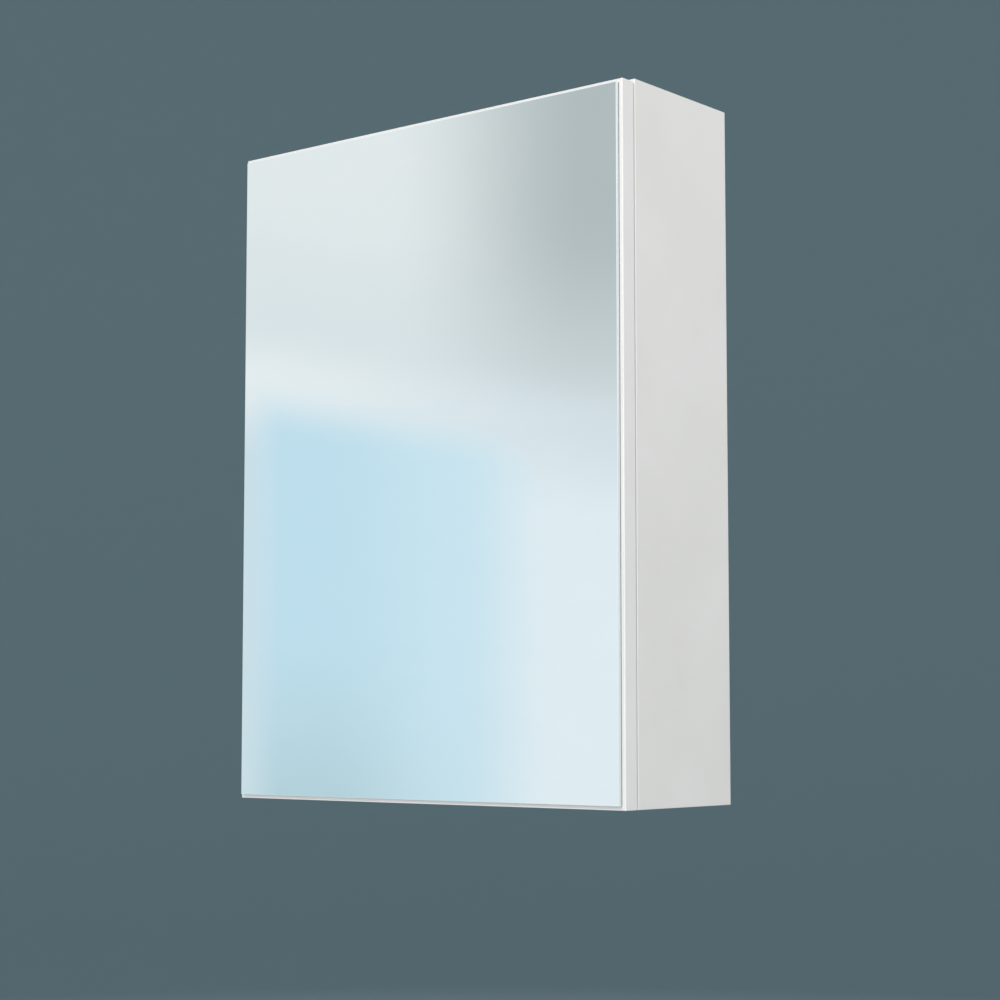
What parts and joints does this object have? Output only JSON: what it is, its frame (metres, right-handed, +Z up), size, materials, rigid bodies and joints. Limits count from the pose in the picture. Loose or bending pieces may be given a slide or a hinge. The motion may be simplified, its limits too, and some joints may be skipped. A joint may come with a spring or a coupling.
{
  "type": "wall cabinet",
  "caption": "White wall cabinet with a mirror door on concealed hinges, glass shelves and hangers on a wall rail.",
  "frame": {"origin": "on the wall, in the middle of the cabinet's width, level with its underside", "axes": "+X to the right seen from the room, +Y into the wall, +Z up"},
  "size_m": [0.4, 0.1428, 0.55],
  "materials": {
    "white_board": "satin white melamine on chipboard",
    "edge_band": "satin white plastic edge band",
    "back_board": "satin white lacquer on fibreboard",
    "dowel_beech": "plain beech",
    "shelf_glass": "clear float glass, ground edges",
    "mirror": "polished",
    "mirror_film": "grey safety film",
    "foam_tape": "matte foam tape",
    "plated_steel": "nickel plated",
    "spring_steel": "oiled",
    "galvanised_steel": "galvanised",
    "cast_zinc": "plain die cast",
    "white_plastic": "satin",
    "clear_pad": "clear soft plastic"
  },
  "bodies": {
    "case": {"side_panel_left": "white_board", "side_panel_right": "white_board", "top_panel": "white_board", "bottom_panel": "white_board", "back_panel": "back_board", "edge_band_left": "edge_band", "edge_band_right": "edge_band", "edge_band_top": "edge_band", "edge_band_bottom": "edge_band", "cam_locks": "cast_zinc", "cam_bolts": "plated_steel", "cam_caps": "white_plastic", "wood_dowels": "dowel_beech", "shelf_upper": "shelf_glass", "shelf_lower": "shelf_glass", "shelf_pins": "plated_steel", "shelf_pads": "clear_pad", "wall_rail": "galvanised_steel", "hanger_housing_left": "white_plastic", "hanger_housing_right": "white_plastic", "hanger_hook_left": "plated_steel", "hanger_hook_right": "plated_steel", "hanger_lift_screws": "plated_steel", "hanger_depth_screws": "plated_steel", "hanger_fixing_screws": "plated_steel", "hinge_plate_upper": "cast_zinc", "hinge_plate_lower": "cast_zinc", "hinge_plate_screws": "plated_steel", "hinge_arm_upper": "plated_steel", "hinge_arm_lower": "plated_steel", "hinge_arm_screws": "plated_steel", "hinge_arm_pins": "plated_steel", "hinge_springs": "spring_steel"},
    "door": {"door_panel": "white_board", "door_band_left": "edge_band", "door_band_right": "edge_band", "door_band_top": "edge_band", "door_band_bottom": "edge_band", "mirror_glass": "mirror", "mirror_backing": "mirror_film", "mirror_tape": "foam_tape", "hinge_cup_upper": "plated_steel", "hinge_cup_lower": "plated_steel", "hinge_cup_screws": "plated_steel", "door_bumpers": "clear_pad"},
    "inner_links": {"inner_link_upper": "plated_steel", "inner_link_lower": "plated_steel", "inner_link_pins": "plated_steel"},
    "outer_links": {"outer_link_upper": "plated_steel", "outer_link_lower": "plated_steel", "outer_link_pins": "plated_steel"}
  },
  "joints": [
    {"name": "door_swing", "type": "hinge", "parent": "case", "child": "door", "pos_m": [-0.196, -0.13535, 0], "axis": [0, 0, -1], "range_deg": [0, 95]},
    {"name": "inner_link_swing", "type": "hinge", "parent": "case", "child": "inner_links", "pos_m": [-0.17325, -0.12947, 0], "axis": [0, 0, -1], "range_deg": [-34, 0.5]},
    {"name": "outer_link_swing", "type": "hinge", "parent": "case", "child": "outer_links", "pos_m": [-0.16802, -0.12599, 0], "axis": [0, 0, -1], "range_deg": [-31.5, 0.5]}
  ],
  "couplings": [
    {"joint": "inner_link_swing", "follows": "door_swing", "ratio": -0.35154},
    {"joint": "outer_link_swing", "follows": "door_swing", "ratio": -0.32421}
  ]
}
